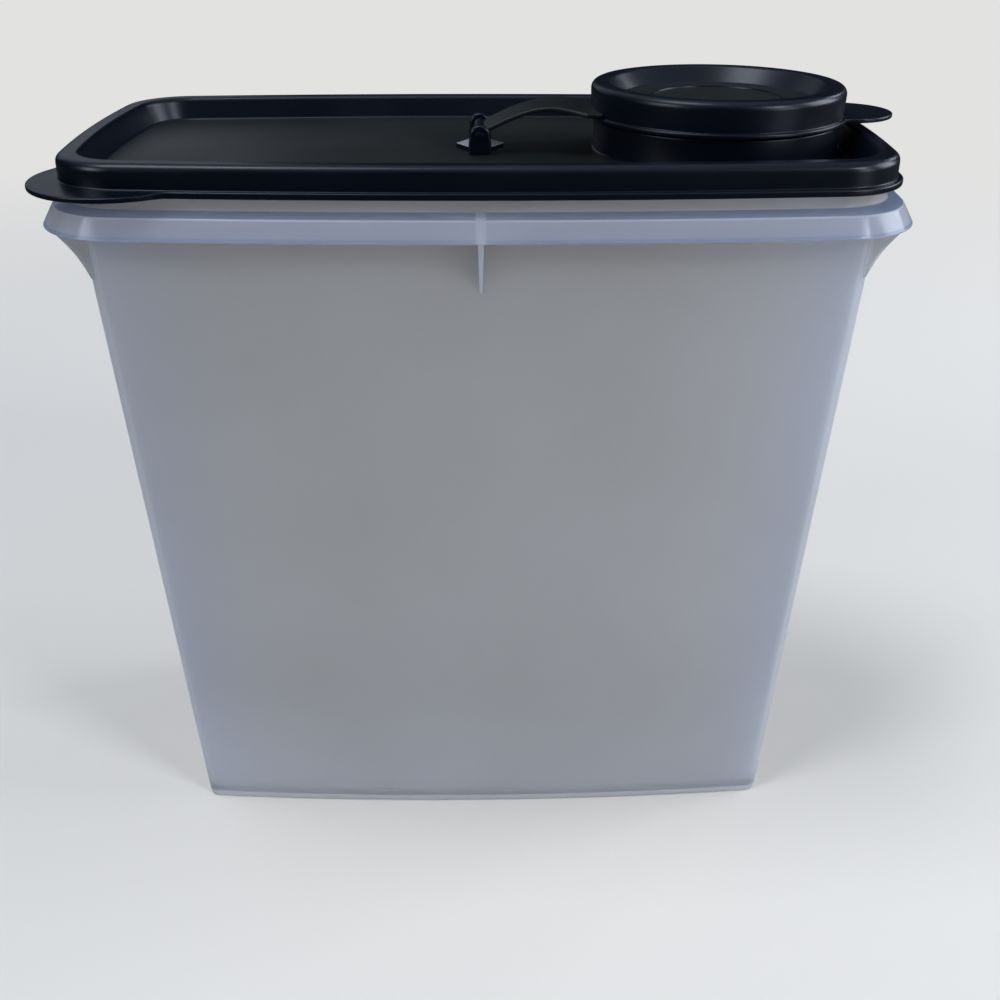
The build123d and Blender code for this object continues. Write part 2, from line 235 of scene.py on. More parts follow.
# The container is one closed shell, from the foot's recess over the skirt and neck to the inside floor
keeper = {
    "wall": 1.8, "footHeight": 1.6, "footWidth": 5.0, "footRadius": 0.6, "baseRadius": 1.1,
    "floorHeight": 3.8, "floorRadius": 2.0,
    "ledgeHeight": 219.3, "stepHeight": 218.4, "neckTop": 230.1,
    "neckOuter": -2.1, "neckInner": -3.9, "neckRadius": 0.7,
    "skirtTop": 218.2, "skirtBottom": 212.3, "skirtTopReach": 3.2, "skirtReach": 6.48, "skirtWall": 1.3,
    "skirtEdgeRadius": 0.55, "skirtRows": (0.07, 0.15, 0.92),
    "ledgeEdgeRadius": 0.7, "ledgeThickness": 1.5, "webRadius": 0.5,
}


def containerGrid():
    k = keeper
    under = k["skirtTop"] - k["ledgeThickness"]
    skirtLean = (k["skirtReach"] - k["skirtTopReach"]) / (k["skirtTop"] - k["skirtBottom"])
    underReach = k["skirtTopReach"] + (k["skirtTop"] - under) * skirtLean - k["skirtWall"]
    capScales = np.array([0.0, 0.2, 0.45, 0.7, 0.9])[1:]
    # Underside and outer wall, on the body's outline
    foot = roundedLine(
        [(-k["footWidth"], k["footHeight"]), (-k["footWidth"], 0), (0, 0), (0, 40.0)],
        [k["footRadius"], k["baseRadius"]],
    )
    foot = np.vstack([foot[:-1], [(0, 2.7), (0, 3.4), (0, 12.0), (0, 40.0)]])
    wall = np.stack([np.zeros(9), np.linspace(52.0, under - 12.0, 9)], 1)
    shoulder = roundedLine([(0, under - 6.0), (0, under), (1.6, under)], [k["webRadius"]])
    # Underside of the ledge, skirt, ledge and neck, on the outlines of skirt and rim
    rim = roundedLine(
        [
            (underReach - 1.6, under),
            (underReach, under),
            (k["skirtReach"] - k["skirtWall"], k["skirtBottom"]),
            (k["skirtReach"], k["skirtBottom"]),
            (k["skirtTopReach"], k["skirtTop"]),
            (k["neckOuter"], k["ledgeHeight"]),
            (k["neckOuter"], k["neckTop"]),
            (k["neckInner"], k["neckTop"]),
            (k["neckInner"], k["stepHeight"]),
            (k["neckInner"] - 1.2, k["stepHeight"]),
        ],
        [
            0.5, k["skirtEdgeRadius"], k["skirtEdgeRadius"], k["ledgeEdgeRadius"], 0.5,
            k["neckRadius"], k["neckRadius"], 0.4,
        ],
    )
    # Rows on the skirt's outer face that bound its hem and its top line: low row + (high - low) * share
    cut = np.flatnonzero((np.diff(rim[:, 1]) > 3) & (rim[:-1, 0] > k["skirtTopReach"]))[0] + 1
    shares = np.array(k["skirtRows"])[:, None]
    rim = np.insert(rim, cut, rim[cut - 1] + (rim[cut] - rim[cut - 1]) * shares, axis=0)
    # Inside wall and floor, on the body's outline again
    inside = roundedLine(
        [(-k["wall"] + 1.2, k["stepHeight"]), (-k["wall"], k["stepHeight"]), (-k["wall"], 190.0)], [0.4],
    )
    insideWall = np.stack([np.full(9, -k["wall"]), np.linspace(180.0, 20.0, 9)], 1)
    floor = roundedLine(
        [(-k["wall"], 12.0), (-k["wall"], k["floorHeight"]), (-k["wall"] - 6.0, k["floorHeight"])], [k["floorRadius"]],
    )
    parts = [
        (0, np.stack([np.full(4, -k["footWidth"]), np.full(4, k["footHeight"])], 1), capScales),
        (0, foot, 1), (0, wall, 1), (0, shoulder, 1),
        (1, rim, 1),
        (0, inside, 1), (0, insideWall, 1), (0, floor, 1),
        (0, np.stack([np.full(4, -k["wall"] - 6.0), np.full(4, k["floorHeight"])], 1), capScales[::-1]),
    ]
    weight = np.concatenate([np.full(len(line), w, float) for w, line, s in parts])
    scale = np.concatenate([np.broadcast_to(s, len(line)).astype(float) for w, line, s in parts])
    line = np.concatenate([line for w, line, s in parts])
    # The skirt's outline from its top edge outward, the rim's on the neck, and a straight mix on the ledge
    share = np.clip((line[:, :1] - k["neckOuter"]) / (k["skirtTopReach"] - k["neckOuter"]), 0, 1)
    grid, normal = ringsAt(weight, line[:, 0], line[:, 1], scale, rimSizes + (skirtSizes - rimSizes) * share)
    return grid, normal, line, weight


containerPoints, containerNormals, containerLine, containerWeight = containerGrid()
print("container rings:", containerPoints.shape)


# Gussets are thin webs that brace the skirt from below
gusset = {
    "thickness": 1.7, "edgeRadius": 0.5, "sideDepth": 18.0, "cornerDepth": 16.0, "hollow": 0.9, "root": 0.9,
    "sideThickness": 2.1, "sideTail": 0.35,
}


def plateObject(name, loop, origin, outward, thickness, radius, tail=1.0):
    # Plate with a closed outline in the plane of outward and up: rings of the outline shrunk
    # towards its middle by the edge radius as they near each face, radius * (1 - cos, sin) of 0 to 90 degrees.
    # Its thickness falls in a straight line to the share tail at its lowest point.
    loop, outward = np.asarray(loop, float), np.asarray(outward, float)
    middle = loop.mean(axis=0)
    away = loop - middle
    size = np.linalg.norm(away, axis=1, keepdims=True)
    turn = np.linspace(0, np.pi / 2, 4)
    drawnIn, lower = radius * (1 - np.sin(turn)), -thickness / 2 + radius * (1 - np.cos(turn))
    inset = np.concatenate([[3.0 * radius], drawnIn, drawnIn[::-1], [3.0 * radius]])
    shift = np.concatenate([[-thickness / 2], lower, -lower[::-1], [thickness / 2]])
    flat = middle + away * (1 - np.minimum(inset[:, None, None] / size, 0.9))
    across = np.array([-outward[1], outward[0], 0.0])
    out3 = np.array([outward[0], outward[1], 0.0])
    height = (flat[..., 1:] - loop[:, 1].min()) / np.ptp(loop[:, 1])
    thin = tail + (1 - tail) * np.clip(height, 0, 1)
    points = np.asarray(origin, float) + flat[..., :1] * out3 + shift[:, None, None] * thin * across
    points = points + flat[..., 1:] * np.array([0.0, 0.0, 1.0])
    return gridObject(name, points, poles=(True, True))


def gussetLoop(wallAt, skirtAt, depth):
    # Outline from the wall under the ledge, out to the skirt's inner face, down to its edge, and
    # back to the wall along a hollow curve: chord point - hollow * sin(pi * share) across the chord.
    k, g = keeper, gusset
    top, low = k["skirtTop"] - k["ledgeThickness"] * 0.5, k["skirtBottom"] - depth
    edge = np.array([skirtAt(k["skirtBottom"]) - k["skirtWall"] * 0.5, k["skirtBottom"] + 0.35])
    tail = np.array([wallAt(low), low])
    share = np.linspace(0, 1, 14)[:, None]
    chord = tail - edge
    side = np.array([chord[1], -chord[0]]) / np.hypot(*chord)
    free = edge + chord * share + side * g["hollow"] * np.sin(np.pi * share) * (1 if side[0] < 0 else -1)
    heights = np.linspace(low, top, 14)[:, None]
    wallSide = np.hstack([np.vectorize(wallAt)(heights) - g["root"], heights])
    skirtHeights = np.linspace(top, k["skirtBottom"] + 0.9, 5)[:, None]
    skirtSide = np.hstack([np.vectorize(skirtAt)(skirtHeights) - k["skirtWall"] * 0.5, skirtHeights])
    return np.vstack([wallSide, skirtSide, free[:-1]])


def skirtReachAt(z):
    # The skirt leans out evenly from its top edge: top reach + (reach - top reach) * share of the drop
    k = keeper
    share = (k["skirtTop"] - z) / (k["skirtTop"] - k["skirtBottom"])
    return k["skirtTopReach"] + (k["skirtReach"] - k["skirtTopReach"]) * share


def cornerPoint(sizes):
    # The middle of the front right corner's arc, worked out on the ring itself
    ring, _ = bowedRings(np.asarray(sizes, float)[None])
    return np.abs(ring[0, outline["endSteps"] + outline["cornerSteps"] // 2])


diagonal = np.array([1.0, 1.0]) / np.sqrt(2)
cornerBase = cornerPoint(bodySizesAt(keeper["skirtBottom"]))


def cornerWallAt(z):
    return float((cornerPoint(bodySizesAt(z)) - cornerBase) @ diagonal)


def cornerSkirtAt(z):
    sizes = skirtSizes + skirtReachAt(z) * np.array([2, 2, 1, 0, 0])
    return float((cornerPoint(sizes) - cornerBase) @ diagonal)


# The lid is one closed shell, from the lip over the rim, panel and spout, and back underneath
cover = {
    "bottom": 223.1, "lipReach": 1.5, "lipThickness": 1.9, "lipRadius": 0.5, "lipRootRadius": 0.4,
    "top": 231.95, "outerRadius": 2.4, "innerRadius": 1.6, "recess": -6.1, "lean": 2.6,
    "panelTop": 224.95, "panelBottom": 223.35, "panelRadius": 1.0,
    "channel": -4.5, "channelTop": 230.45, "wall": 1.5,
    "tabRadius": 25.5, "tabX": -103.32, "tabY": -39.2, "tabThickness": 1.5, "tabRoot": 1.4,
}
spout = {
    "x": 73.8, "collar": 38.0, "collarTop": 234.45, "radius": 36.4, "draft": 0.4, "top": 241.45, "wall": 1.8,
    "footRadius": 0.7, "edgeRadius": 0.5,
}


def lidGrid():
    c, s = cover, spout
    channelLean = c["lean"] * (c["channelTop"] - c["bottom"]) / (c["top"] - c["panelTop"])
    panelReach = c["recess"] - c["lean"]
    above = roundedLine(
        [
            (-c["wall"] + 0.5, c["bottom"]),
            (c["lipReach"], c["bottom"]),
            (c["lipReach"], c["bottom"] + c["lipThickness"]),
            (0, c["bottom"] + c["lipThickness"]),
            (0, c["top"]),
            (c["recess"], c["top"]),
            (panelReach, c["panelTop"]),
            (panelReach - 3.0, c["panelTop"]),
        ],
        [c["lipRadius"], c["lipRadius"], c["lipRootRadius"], c["outerRadius"], c["innerRadius"], c["panelRadius"]],
        steps=6,
    )
    foot = s["collar"]
    mouth = s["radius"] - s["draft"]
    stand = roundedLine(
        [
            (foot + 2.4, c["panelTop"]),
            (foot, c["panelTop"]),
            (foot, s["collarTop"]),
            (s["radius"], s["collarTop"]),
            (mouth, s["top"]),
            (mouth - s["wall"], s["top"]),
            (s["radius"] - s["wall"], s["collarTop"] - s["wall"]),
            (foot - s["wall"], s["collarTop"] - s["wall"]),
            (foot - s["wall"], c["panelBottom"]),
            (foot + 1.5, c["panelBottom"]),
        ],
        [s["footRadius"], s["edgeRadius"], 0.3, 0.6, 0.6, 0.3, 0.5, 0.4],
    )
    below = roundedLine(
        [
            (panelReach - 3.0, c["panelBottom"]),
            (panelReach, c["panelBottom"]),
            (panelReach, c["bottom"]),
            (c["channel"] - channelLean, c["bottom"]),
            (c["channel"], c["channelTop"]),
            (-c["wall"], c["channelTop"]),
            (-c["wall"], c["bottom"]),
            (-c["wall"] + 0.4, c["bottom"]),
        ],
        [0.1, 0.1, 0.4, 0.5, 0.4, 0.15],
        hold=0.2,
    )
    rimAbove, normalAbove = ringsAt(1, above[:, 0], above[:, 1])
    rimBelow, normalBelow = ringsAt(1, below[:, 0], below[:, 1])

    # The pull tab is the lip's ring pushed out along its normals to a circle round the corner:
    # reach = far root of |start + normal * t - centre| = radius, softly joined to the lip's own reach.
    start, normal = ringsAt(1, np.zeros(1), np.zeros(1))
    start, normal = start[0, :, :2], normal[0]
    toCentre = start - (c["tabX"], c["tabY"])
    along = (toCentre * normal).sum(1)
    inside = along**2 - (toCentre**2).sum(1) + c["tabRadius"] ** 2
    far = np.where(inside > 0, -along + np.sqrt(np.maximum(inside, 0)), -9.0)
    soft = c["tabRoot"]
    mix = np.clip(0.5 + (far - c["lipReach"]) / (2 * soft), 0, 1)
    tabReach = c["lipReach"] * (1 - mix) + far * mix + soft * mix * (1 - mix) * 0.9
    extra = np.maximum(tabReach - c["lipReach"], 0)
    share = np.clip((above[:, 0] - 0.9) / (c["lipReach"] - c["lipRadius"] - 0.9), 0, 1)
    onLip = above[:, 1] < c["bottom"] + c["lipThickness"] + 0.01
    push = (share * onLip)[:, None] * extra
    rimAbove[..., :2] += push[..., None] * normalAbove
    # The tab is thinner than the lip, so its top sinks as it leaves the lip
    topShare = np.clip((above[:, 1:] - c["bottom"]) / c["lipThickness"], 0, 1) * share[:, None] * onLip[:, None]
    rimAbove[..., 2] -= topShare * (c["lipThickness"] - c["tabThickness"]) * smooth(0.0, 3.0, extra)

    # The panel runs from the rim's foot to a circle round the spout, point by point along straight rays
    hub = np.array([s["x"], 0.0])
    ray = rimAbove[-1, :, :2] - hub
    ray = ray / np.linalg.norm(ray, axis=1, keepdims=True)

    def circleRings(line):
        ring = hub + line[:, :1, None] * ray
        return np.dstack([ring, np.broadcast_to(line[:, 1:], ring.shape[:2])])

    circles = circleRings(stand)
    share = np.array([0.06, 0.16, 0.3, 0.46, 0.62, 0.76, 0.88, 0.96])[:, None, None]
    top = rimAbove[-1] + (circles[0] - rimAbove[-1]) * share
    under = circles[-1] + (rimBelow[0] - circles[-1]) * share
    return np.concatenate([rimAbove, top, circles, under, rimBelow])


# The hinge is two ears on the panel, a cross pin, and the strap that carries the cap
hinge = {
    "earSpacing": 21.0, "earThickness": 2.8, "earTop": 3.2, "earSpread": 0.3, "earEdge": 0.7,
    "pinHeight": 230.55, "pinRadius": 1.3, "pinFit": 0.03, "pinProud": 0.08, "pinEdge": 0.2,
    "holeChamfer": 0.08, "holeDepth": 0.2, "barrelRadius": 2.0, "barrelEdge": 0.5,
    "strapThickness": 1.3, "strapWidth": 17.6, "strapStraight": 11.8, "strapEnd": 29.0, "strapEdge": 0.45,
    "crestX": 21.4, "crestZ": 238.15, "endX": 33.1, "endZ": 236.9, "stopX": 33.27, "stopDrop": 0.03,
    # slopes at the pin, the crest and the cap, and how far each pulls the curve
    "leaveSlope": 0.54, "crestSlope": 0.05, "landSlope": -0.12, "crestPulls": (20.0, 11.0), "landPull": 10.0,
    "rootFrom": 33.33, "rootTo": 37.0, "webFrom": 32.4, "webTo": 34.2, "webThickness": 0.5, "webEdge": 0.15,
    "padLength": 14.9, "padWidth": 23.5, "padHeight": 1.5, "padCorner": 0.5, "padEdge": 0.3,
}


def roundBar(name, length, radius, edge, steps=48):
    # Bar along Y at the pin's height: a profile of (y, radius) turned about it, middle + radius * (cos, sin)
    half = length / 2
    line = roundedLine([(-half, radius * 0.35), (-half, radius), (half, radius), (half, radius * 0.35)], [edge, edge])
    angle = np.linspace(0, 2 * np.pi, steps, endpoint=False)
    x = line[:, 1:] * np.cos(angle)
    z = hinge["pinHeight"] + line[:, 1:] * np.sin(angle)
    y = np.broadcast_to(line[:, :1], x.shape)
    return gridObject(name, np.dstack([x, y, z]), poles=(True, True))


def earObject(name, side):
    # Ear with its pin hole: a loop of (radius factor, thickness) runs over both faces and through the
    # hole. Its outer edge is a half circle whose sides spread a little below the pin, its inner edge the hole.
    h, c = hinge, cover
    steps = 96
    angle = np.linspace(0, 2 * np.pi, steps, endpoint=False)
    direction = np.stack([np.cos(angle), np.sin(angle)], 1)
    half, low = h["earTop"], h["pinHeight"] - c["panelBottom"] - 0.4
    # Distance to the outline: the circle above the pin, the straight sides and foot below
    down = np.maximum(-direction[:, 1], 1e-6)
    toSide = half / np.maximum(np.abs(direction[:, 0]), 1e-6)
    outer = np.where(direction[:, 1] >= 0, half, np.minimum(toSide, low / down))
    border = direction * outer[:, None]
    border[:, 0] *= 1 + h["earSpread"] / half * smooth(0.0, 2.5, -border[:, 1])
    away = border / np.linalg.norm(border, axis=1, keepdims=True)
    turn = np.linspace(0, np.pi / 2, 5)
    edge, t = h["earEdge"], h["earThickness"] / 2
    rings = [
        (border - away * (edge * (1 - np.sin(bend))), face * (t - edge * (1 - np.cos(bend))))
        for face, bends in ((-1, turn), (1, turn[::-1])) for bend in bends
    ]
    hole = direction * (h["pinRadius"] + h["pinFit"])
    chamfer = hole + direction * h["holeChamfer"]
    between, deep = border * 0.55 + hole * 0.45 - away * edge, t - h["holeDepth"]
    rings += [(between, t), (chamfer, t), (hole, deep), (hole, -deep), (chamfer, -t), (between, -t)]
    grid = np.array([
        np.stack([ring[:, 0], np.full(steps, side * h["earSpacing"] / 2 + shift), h["pinHeight"] + ring[:, 1]], 1)
        for ring, shift in rings
    ])
    return gridObject(name, grid, closedRows=True)


def hermite(start, end, leave, arrive, share):
    # Cubic through start and end with these end slopes
    s = share[:, None]
    return (
        (2 * s**3 - 3 * s**2 + 1) * start + (s**3 - 2 * s**2 + s) * leave
        + (-2 * s**3 + 3 * s**2) * end + (s**3 - s**2) * arrive
    )


def strapCentre(count):
    h = hinge
    pin, crest, end = np.array([(0.0, h["pinHeight"]), (h["crestX"], h["crestZ"]), (h["endX"], h["endZ"])])
    leave, level, land = (np.array([1.0, h[name]]) for name in ("leaveSlope", "crestSlope", "landSlope"))
    before, after = h["crestPulls"]
    rise = hermite(pin, crest, leave * h["crestX"], level * before, np.linspace(0, 1, count))
    fall = hermite(crest, end, level * after, land * h["landPull"], np.linspace(0, 1, count // 2))
    return np.vstack([rise, fall[1:]])


def strapWidth(x):
    # Half width along the strap: straight sides from the pin, then an arc tangent to them that opens to
    # the cap's width, half + radius - sqrt(radius^2 - run^2) with radius = (run^2 + rise^2) / (2 rise)
    h = hinge
    rise, run = (h["strapEnd"] - h["strapWidth"]) / 2, h["endX"] - h["strapStraight"]
    radius = (run**2 + rise**2) / (2 * rise)
    return h["strapWidth"] / 2 + radius - np.sqrt(radius**2 - np.clip(x - h["strapStraight"], 0, run) ** 2)


def bandObject(name, centre, halfWidths, thickness, edge):
    # Band swept along a line in X and Z: each station carries a flat section with rounded edges,
    # centre + across * y + normal * lift, and its end stations are closed by a fan to their middle.
    tangent = np.gradient(centre, axis=0)
    tangent /= np.linalg.norm(tangent, axis=1, keepdims=True)
    normal = np.stack([-tangent[:, 1], tangent[:, 0]], 1)
    half = thickness / 2
    turn = np.linspace(0, np.pi / 2, 4)
    corner = np.stack([-edge * (1 - np.sin(turn)), half - edge * (1 - np.cos(turn))], 1)
    edgeInset, edgeLift = np.vstack([corner, (corner * (1, -1))[::-1]]).T
    # Round the section: over the top, down one edge, back along the underside and up the other edge
    flats, sides = np.linspace(-1, 1, 13)[1:-1], np.ones(len(edgeLift))
    lift = np.hstack([np.full(11, half), edgeLift, np.full(11, -half), edgeLift[::-1]])
    widthShare = np.hstack([flats, sides, flats[::-1], -sides])
    inset = np.hstack([np.zeros(11), edgeInset, np.zeros(11), -edgeInset[::-1]])
    y = halfWidths[:, None] * widthShare + inset
    x = centre[:, :1] + normal[:, :1] * lift
    z = centre[:, 1:] + normal[:, 1:] * lift
    return gridObject(name, np.dstack([x, y, z]), poles=(True, True))


# The flip cap is a turned profile whose lip grows into the thumb tab
capSizes = {
    "bottom": 234.95, "lip": 40.0, "lipThickness": 1.3, "foot": 38.9, "radius": 39.2, "top": 244.95, "inner": 37.3,
    "outerRadius": 2.2, "bead": 33.8, "beadRadius": 1.6, "disc": 29.4, "discTop": 240.25, "discBottom": 238.75,
    "discRadius": 0.8, "roof": 243.45, "ring": 20.0, "ringWidth": 0.8, "ringHeight": 0.4,
    "thumbRadius": 15.0, "thumbReach": 15.07, "thumbRoot": 3.0, "columns": 256,
}


def capGrid():
    c = capSizes
    lean = (c["bead"] - c["disc"]) / (c["top"] - c["discTop"])
    across = (c["top"] - c["roof"]) * np.hypot(1, lean)

    def plugAt(z):
        return c["disc"] + (z - c["discTop"]) * lean + across

    ring = [c["ring"] + c["ringWidth"] / 2, c["ring"] - c["ringWidth"] / 2]
    line = roundedLine(
        [
            (2.0, c["discBottom"]),
            (plugAt(c["discBottom"]), c["discBottom"]),
            (plugAt(c["roof"]), c["roof"]),
            (c["inner"], c["roof"]),
            (c["inner"], c["bottom"]),
            (c["lip"], c["bottom"]),
            (c["lip"], c["bottom"] + c["lipThickness"]),
            (c["foot"], c["bottom"] + c["lipThickness"]),
            (c["radius"], c["top"]),
            (c["bead"], c["top"]),
            (c["disc"], c["discTop"]),
            (ring[0], c["discTop"]),
            (ring[0] - 0.1, c["discTop"] + c["ringHeight"]),
            (ring[1] + 0.1, c["discTop"] + c["ringHeight"]),
            (ring[1], c["discTop"]),
            (2.0, c["discTop"]),
        ],
        [0.4, 0.4, 0.4, 0.3, 0.45, 0.45, 0.25, c["outerRadius"], c["beadRadius"], c["discRadius"], *[0.12] * 4],
        steps=6, hold=0.08,
    )
    angle = np.linspace(0, 2 * np.pi, c["columns"], endpoint=False)
    # Lip radius by direction: the far crossing of a ray with the thumb tab's circle, softly joined
    away = c["lip"] + c["thumbReach"] - c["thumbRadius"]
    inside = c["thumbRadius"] ** 2 - (away * np.sin(angle)) ** 2
    far = np.where((inside > 0) & (np.cos(angle) > 0), away * np.cos(angle) + np.sqrt(np.maximum(inside, 0)), 0)
    soft = c["thumbRoot"]
    mix = np.clip(0.5 + (far - c["lip"]) / (2 * soft), 0, 1)
    reach = c["lip"] * (1 - mix) + far * mix + soft * mix * (1 - mix) * 0.9
    extra = np.maximum(reach - c["lip"], 0)
    tabStart = c["foot"] + 0.35
    onLip = line[:, 1] < c["bottom"] + c["lipThickness"] + 0.01
    share = np.clip((line[:, 0] - tabStart) / (c["lip"] - 0.45 - tabStart), 0, 1) * onLip
    radius = line[:, :1] + share[:, None] * extra
    x = spout["x"] + radius * np.cos(angle)
    y = radius * np.sin(angle)
    return np.dstack([x, y, np.broadcast_to(line[:, 1:], x.shape)])


def addNode(tree, kind, settings=None, links=None):
    # A node with its settings: a property of the node by its name, else an input by name or number
    node = tree.nodes.new(kind)
    for key, value in (settings or {}).items():
        if isinstance(key, str) and hasattr(node, key):
            setattr(node, key, value)
        else:
            node.inputs[key].default_value = value
    for key, source in (links or {}).items():
        tree.links.new(source, node.inputs[key])
    return node


def newMaterial(name):
    material = bpy.data.materials.new(name)
    material.use_nodes = True
    material.node_tree.nodes.clear()
    return material, material.node_tree


# Tones of the keeper: body, haze, rib and the webs are the plastic's own colour, while cool, edge, skirt, hem, ledge
# and neck also carry painted light, laid in containerTones.
milky = {
    "body": "#e8e7e5", "cool": "#e2e5ed", "edge": "#f4f6fa", "skirt": "#dcdfe8", "hem": "#c8cfe1", "ledge": "#a6b2cb",
    "neck": "#f6f4f1", "rib": "#f0f2f9", "sideWeb": "#dde1ea", "web": "#eff0f1", "haze": "#eeece8",
    "satin": 0.46, "polished": 0.14, "webPolish": 0.7, "ior": 1.49,
    "clear": 0.62, "through": 0.42, "webClear": 0.85, "webThrough": 0.25, "thickClear": 0.3, "thickThrough": 0.35,
}


def milkyPolypropylene(name, clear, through):
    # Natural polypropylene, injection moulded: milky, so what is behind a wall shows only as a blur
    # and light leaks through. Its walls come from an etched tool and are satin, while skirt, ledge
    # and neck come from a polished one. The vertex tone carries the thicker, paler places, and also
    # painted light: paler ends, corners and lower body, and painted reflection and shade on skirt and ledge.
    m = milky
    material, tree = newMaterial(name)
    place = addNode(tree, "ShaderNodeTexCoord")
    tone = addNode(tree, "ShaderNodeAttribute", {"attribute_name": "tone"})
    # Flow clouds of the melt, about 60 mm across
    flow = addNode(tree, "ShaderNodeTexNoise", {"Scale": 16.0, "Detail": 2.0}, {"Vector": place.outputs["Object"]})
    cloud = addNode(
        tree, "ShaderNodeMapRange",
        {"From Min": 0.35, "From Max": 0.75, "To Max": 0.35}, {"Value": flow.outputs["Fac"]},
    )
    colour = addNode(
        tree, "ShaderNodeMix", {"data_type": "RGBA", "blend_type": "MULTIPLY", 7: linear(m["haze"])},
        {0: cloud.outputs[0], 6: tone.outputs["Color"]},
    )
    # Etched grain of 0.5 mm, a little coarser than the real one so that it shows
    grain = addNode(tree, "ShaderNodeTexNoise", {"Scale": 2000.0, "Detail": 1.0}, {"Vector": place.outputs["Object"]})
    bump = addNode(tree, "ShaderNodeBump", {"Strength": 0.06, "Distance": 0.0001}, {"Height": grain.outputs["Fac"]})
    polish = addNode(tree, "ShaderNodeAttribute", {"attribute_name": "polish"})
    gloss = addNode(
        tree, "ShaderNodeMapRange", {"To Min": m["satin"], "To Max": m["polished"]}, {"Value": polish.outputs["Fac"]},
    )
    skin = addNode(
        tree, "ShaderNodeBsdfPrincipled", {"IOR": m["ior"], "Transmission Weight": clear},
        {"Base Color": colour.outputs[2], "Roughness": gloss.outputs[0], "Normal": bump.outputs["Normal"]},
    )
    leak = addNode(tree, "ShaderNodeBsdfTranslucent", None, {"Color": colour.outputs[2]})
    mixed = addNode(tree, "ShaderNodeMixShader", {"Fac": through}, {1: skin.outputs[0], 2: leak.outputs[0]})
    addNode(tree, "ShaderNodeOutputMaterial", None, {"Surface": mixed.outputs[0]})
    return material


black = {
    # ior is below polyethylene's 1.5, so that the studio's broad sky shines no stronger than a window
    "colour": "#02060f", "sheen": "#050b16", "roughness": 0.3, "ior": 1.36,
    "etched": "#121411", "etchedSheen": "#181b17", "etchedRoughness": 0.42,
    # The pad under the hinge is painted pale grey, a painted reflection of the bright sky on its smooth top
    "paintedPadReflection": "#969a98", "paintedPadReflectionPale": "#a9adac", "padRoughness": 0.35, "padIor": 1.5,
}


def blackPolyethylene(name, colour, sheen, roughness):
    # Black polyethylene, injection moulded with a satin skin: near black, with a broad low gloss
    # that breaks up slightly where handling has polished or dulled it. Where the tool was etched,
    # on the flats of lid and cap and on the strap, it is duller and greyer.
    material, tree = newMaterial(name)
    place = addNode(tree, "ShaderNodeTexCoord")
    wear = addNode(tree, "ShaderNodeTexNoise", {"Scale": 22.0, "Detail": 4.0}, {"Vector": place.outputs["Object"]})
    tint = addNode(
        tree, "ShaderNodeMix", {"data_type": "RGBA", 6: linear(colour), 7: linear(sheen)},
        {0: wear.outputs["Fac"]},
    )
    gloss = addNode(
        tree, "ShaderNodeMapRange",
        {"From Min": 0.3, "From Max": 0.7, "To Min": roughness - 0.04, "To Max": roughness + 0.06},
        {"Value": wear.outputs["Fac"]},
    )
    grain = addNode(tree, "ShaderNodeTexNoise", {"Scale": 1400.0, "Detail": 2.0}, {"Vector": place.outputs["Object"]})
    bump = addNode(tree, "ShaderNodeBump", {"Strength": 0.06, "Distance": 0.0002}, {"Height": grain.outputs["Fac"]})
    skin = addNode(
        tree, "ShaderNodeBsdfPrincipled", {"IOR": black["ior"]},
        {"Base Color": tint.outputs[2], "Roughness": gloss.outputs[0], "Normal": bump.outputs["Normal"]},
    )
    addNode(tree, "ShaderNodeOutputMaterial", None, {"Surface": skin.outputs[0]})
    return material


def paleReflectionPolyethylene():
    # The same polyethylene on the smooth pad under the hinge, painted pale grey: a painted reflection of the bright sky
    material, tree = newMaterial("paleReflectionPolyethylene")
    place = addNode(tree, "ShaderNodeTexCoord")
    # Patches in the painted reflection
    reflectionPatches = addNode(tree, "ShaderNodeTexNoise", {"Scale": 120.0, "Detail": 3.0}, {"Vector": place.outputs["Object"]})
    colour = addNode(
        tree, "ShaderNodeMix",
        {"data_type": "RGBA", 6: linear(black["paintedPadReflection"]), 7: linear(black["paintedPadReflectionPale"])},
        {0: reflectionPatches.outputs["Fac"]},
    )
    skin = addNode(
        tree, "ShaderNodeBsdfPrincipled",
        {"IOR": black["padIor"], "Roughness": black["padRoughness"]}, {"Base Color": colour.outputs[2]},
    )
    addNode(tree, "ShaderNodeOutputMaterial", None, {"Surface": skin.outputs[0]})
    return material


milkyPlastic = milkyPolypropylene("milkyPolypropylene", milky["clear"], milky["through"])
webPlastic = milkyPolypropylene("thinMilkyPolypropylene", milky["webClear"], milky["webThrough"])
thickPlastic = milkyPolypropylene("thickMilkyPolypropylene", milky["thickClear"], milky["thickThrough"])
blackPlastic = blackPolyethylene("blackPolyethylene", black["colour"], black["sheen"], black["roughness"])
etchedPlastic = blackPolyethylene("etchedPolyethylene", black["etched"], black["etchedSheen"], black["etchedRoughness"])
paleReflectionPlastic = paleReflectionPolyethylene()
for node, material in (
    ("container", milkyPlastic), ("lid", blackPlastic), ("strap", blackPlastic), ("flip_cap", blackPlastic),
):
    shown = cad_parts[node].data.materials
    shown.clear()
    shown.append(material)
print("materials made")


containerShell = gridObject("containerShell", containerPoints, poles=(True, True))


